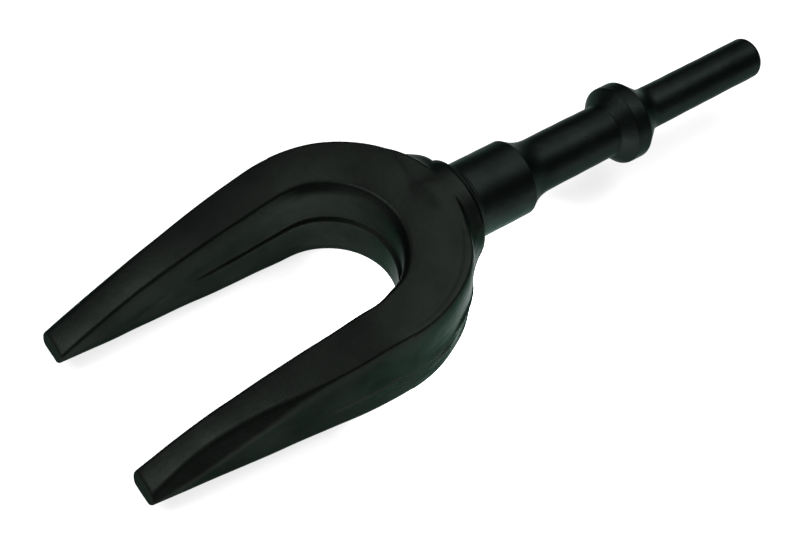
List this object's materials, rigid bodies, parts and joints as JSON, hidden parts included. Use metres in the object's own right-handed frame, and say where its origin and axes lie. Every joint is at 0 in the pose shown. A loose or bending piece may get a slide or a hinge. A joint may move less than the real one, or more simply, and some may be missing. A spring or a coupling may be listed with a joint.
{
  "type": "air hammer separator fork",
  "caption": "Forged U fork with wedge prongs on a turned shank with a retaining collar, driven by an air hammer to wedge seized joints apart.",
  "frame": {"origin": "on the shank's axis, level with the centre of the U's inner root arc", "axes": "+X along the shank to its struck end, so the prongs point along -X; +Y across the two prongs; +Z the fork's upper side"},
  "size_m": [0.1804, 0.0554, 0.0258],
  "materials": {
    "forged_steel": "black oxide over a drop-forged skin, satin, slightly rough",
    "turned_steel": "black oxide over a turned surface, satin",
    "weld_metal": "black oxide over dressed weld, satin"
  },
  "bodies": {
    "root": {"fork_forging": "forged_steel", "hammer_shank": "turned_steel", "hub_weld": "weld_metal"}
  },
  "joints": []
}
